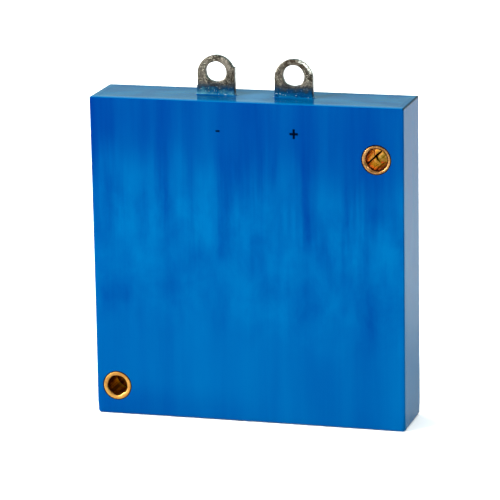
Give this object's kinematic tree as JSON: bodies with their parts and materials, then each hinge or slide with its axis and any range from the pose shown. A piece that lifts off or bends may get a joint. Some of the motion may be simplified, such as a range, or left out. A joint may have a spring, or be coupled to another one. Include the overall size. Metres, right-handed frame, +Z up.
{
  "type": "pouch battery cell",
  "caption": "Resin-potted pouch battery cell: a thin square blue block with brass-lined mounting holes in opposite corners and tinned terminal lugs on its top edge.",
  "frame": {"origin": "middle of the flat underside of the potting box", "axes": "+Z up towards the lugs, +Y from the marked front face to the rear face, +X to the right, towards the positive lug"},
  "size_m": [0.065, 0.0136, 0.0746],
  "materials": {
    "case": "glossy blue moulded plastic, softly mottled",
    "resin": "clear-coat glossy blue casting resin",
    "ink": "black pad-printing ink",
    "sleeve_brass": "bright rolled brass, tarnished in the bore",
    "tinned_lug": "hot-tinned brass, dull and blotched",
    "rivet_brass": "plain brass",
    "nickel_tab": "bright nickel-plated copper strip",
    "aluminium_tab": "mill-finish aluminium strip",
    "sealing_film": "milky polypropylene film",
    "board": "green glass-epoxy laminate",
    "laminate": "satin nylon over aluminium foil",
    "amber_tape": "amber polyimide tape",
    "foam": "grey closed-cell silicone foam",
    "separator_film": "white microporous polyolefin",
    "anode_coating": "matt graphite on copper foil",
    "cathode_coating": "matt metal oxide on aluminium foil"
  },
  "bodies": {
    "root": {"potting_box": "case", "resin_fill": "resin", "resin_cap": "resin", "plus_mark": "ink", "minus_mark": "ink", "lower_left_front_sleeve": "sleeve_brass", "lower_left_rear_sleeve": "sleeve_brass", "upper_right_front_sleeve": "sleeve_brass", "upper_right_rear_sleeve": "sleeve_brass", "negative_lug": "tinned_lug", "positive_lug": "tinned_lug", "negative_rivets": "rivet_brass", "positive_rivets": "rivet_brass", "negative_tab": "nickel_tab", "positive_tab": "aluminium_tab", "negative_tab_film": "sealing_film", "positive_tab_film": "sealing_film", "terminal_board": "board", "pouch_front": "laminate", "pouch_rear": "laminate", "seal_tapes": "amber_tape", "stack_tapes": "amber_tape", "front_foam_pad": "foam", "rear_foam_pad": "foam", "separator": "separator_film", "anode_01": "anode_coating", "anode_02": "anode_coating", "anode_03": "anode_coating", "anode_04": "anode_coating", "anode_05": "anode_coating", "anode_06": "anode_coating", "anode_07": "anode_coating", "anode_08": "anode_coating", "anode_09": "anode_coating", "anode_10": "anode_coating", "anode_11": "anode_coating", "anode_12": "anode_coating", "anode_13": "anode_coating", "anode_14": "anode_coating", "anode_15": "anode_coating", "cathode_01": "cathode_coating", "cathode_02": "cathode_coating", "cathode_03": "cathode_coating", "cathode_04": "cathode_coating", "cathode_05": "cathode_coating", "cathode_06": "cathode_coating", "cathode_07": "cathode_coating", "cathode_08": "cathode_coating", "cathode_09": "cathode_coating", "cathode_10": "cathode_coating", "cathode_11": "cathode_coating", "cathode_12": "cathode_coating", "cathode_13": "cathode_coating", "cathode_14": "cathode_coating"}
  },
  "joints": []
}
